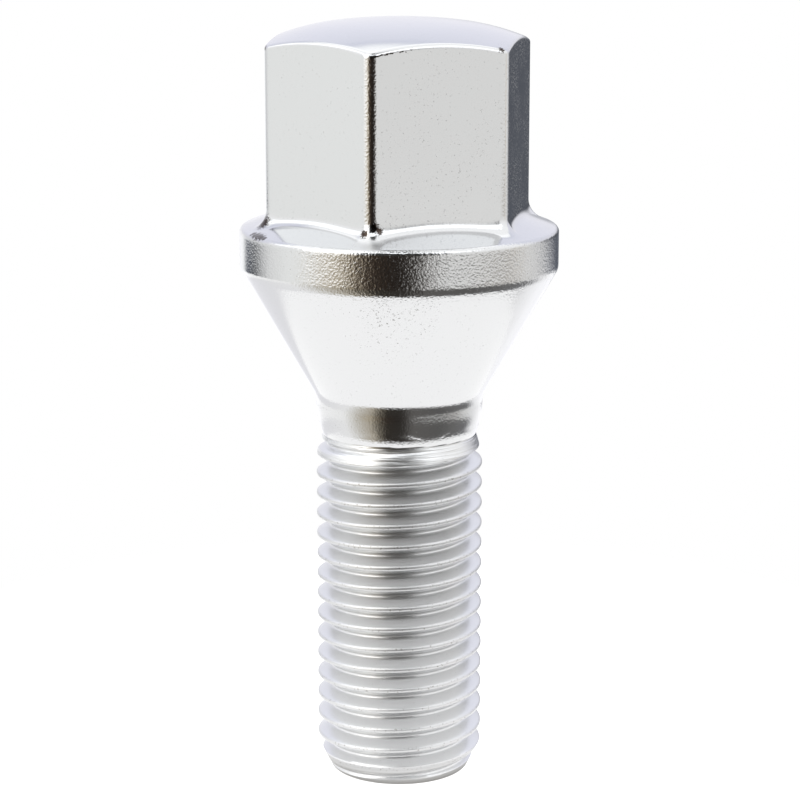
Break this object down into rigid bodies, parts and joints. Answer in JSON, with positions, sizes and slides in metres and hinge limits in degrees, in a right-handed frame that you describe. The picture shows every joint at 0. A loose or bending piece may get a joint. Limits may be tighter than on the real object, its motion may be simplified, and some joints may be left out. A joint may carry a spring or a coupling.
{
  "type": "wheel bolt",
  "caption": "Plated steel wheel bolt with a domed hexagon head, a sloped flange, a conical seat and a threaded shank, for clamping a road wheel to its hub.",
  "frame": {"origin": "centre of the flat end face of the tip", "axes": "+Z along the bolt's axis from the tip to the head, -Y through a corner of the hexagon"},
  "size_m": [0.0224, 0.0224, 0.0544],
  "materials": {
    "plated_steel": "bright plating over forged steel, with fine pits and a slight orange peel"
  },
  "bodies": {
    "root": {"wheel_bolt": "plated_steel"}
  },
  "joints": []
}
